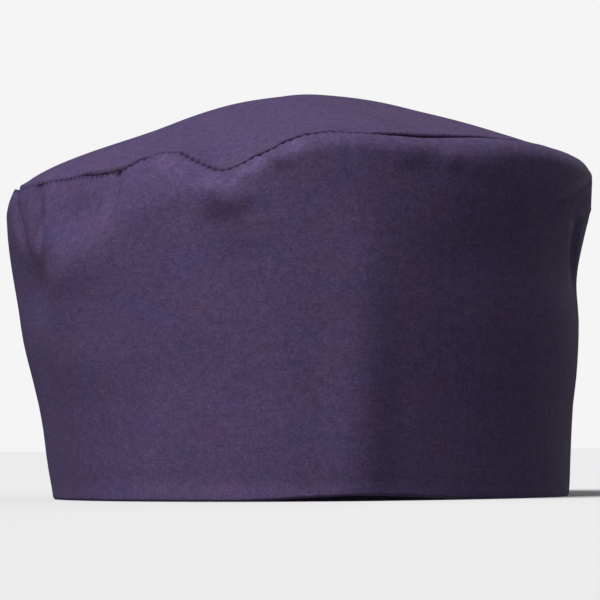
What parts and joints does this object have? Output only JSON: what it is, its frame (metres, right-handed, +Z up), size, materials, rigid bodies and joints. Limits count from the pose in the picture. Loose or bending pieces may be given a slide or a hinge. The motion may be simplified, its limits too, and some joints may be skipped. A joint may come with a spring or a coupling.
{
  "type": "chef beanie",
  "caption": "Soft round work cap of woven cloth: a tall side band with a turned-up hem under a gently domed crown, open below for the head.",
  "frame": {"origin": "the middle of the hat's box in plan, on the surface that its hem rests on", "axes": "+X to the right as the front is seen, +Y from the front to the back of the head, +Z up to the crown"},
  "size_m": [0.179, 0.2126, 0.1216],
  "materials": {
    "cloth": "plain-woven cotton blend, matt, dusky purple",
    "hem_cloth": "wrong side of the same cloth, matt",
    "allowance_cloth": "cut edges of the same cloth, overcast with thread"
  },
  "bodies": {
    "root": {"crown": "cloth", "side_band": "cloth", "hem": "hem_cloth", "seam_allowance": "allowance_cloth"}
  },
  "joints": []
}
